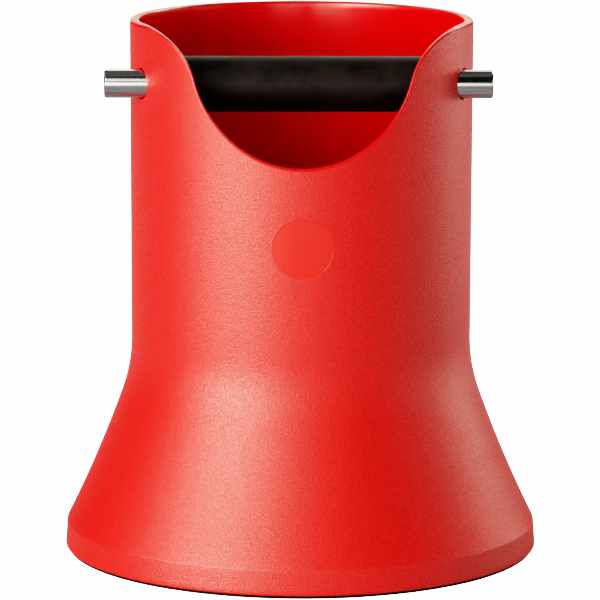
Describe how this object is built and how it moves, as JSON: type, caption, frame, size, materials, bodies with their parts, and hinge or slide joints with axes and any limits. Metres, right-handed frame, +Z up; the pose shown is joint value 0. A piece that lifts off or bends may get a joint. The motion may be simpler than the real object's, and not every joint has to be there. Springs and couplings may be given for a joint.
{
  "type": "knock box",
  "caption": "Bell-shaped bucket with a scooped mouth, crossed by a removable rubber-sleeved bar, on a non-slip foot ring; spent coffee is knocked out against the bar.",
  "frame": {"origin": "centre of the base, on the surface the box stands on", "axes": "+Z up; the knock bar lies along X; the scoop in the mouth faces -Y"},
  "size_m": [0.167, 0.167, 0.1878],
  "materials": {
    "shell_plastic": "fine spark-eroded grain outside, smooth inside",
    "floor_plastic": "smooth moulded",
    "foot_rubber": "matt, slightly textured",
    "rod_steel": "drawn stainless bar, satin",
    "sleeve_rubber": "satin extruded rubber"
  },
  "bodies": {
    "box": {"body_shell": "shell_plastic", "floor_plate": "floor_plastic", "foot_ring": "foot_rubber"},
    "sleeve": {"knock_sleeve": "sleeve_rubber"},
    "rod": {"knock_rod": "rod_steel"}
  },
  "joints": [
    {"name": "bar_spin", "type": "hinge", "parent": "box", "child": "sleeve", "pos_m": [0, -0.022, 0.1674], "axis": [1, 0, 0], "continuous": true},
    {"name": "rod_slide", "type": "slide", "parent": "sleeve", "child": "rod", "axis": [1, 0, 0], "range_m": [-0.125, 0.125]}
  ]
}
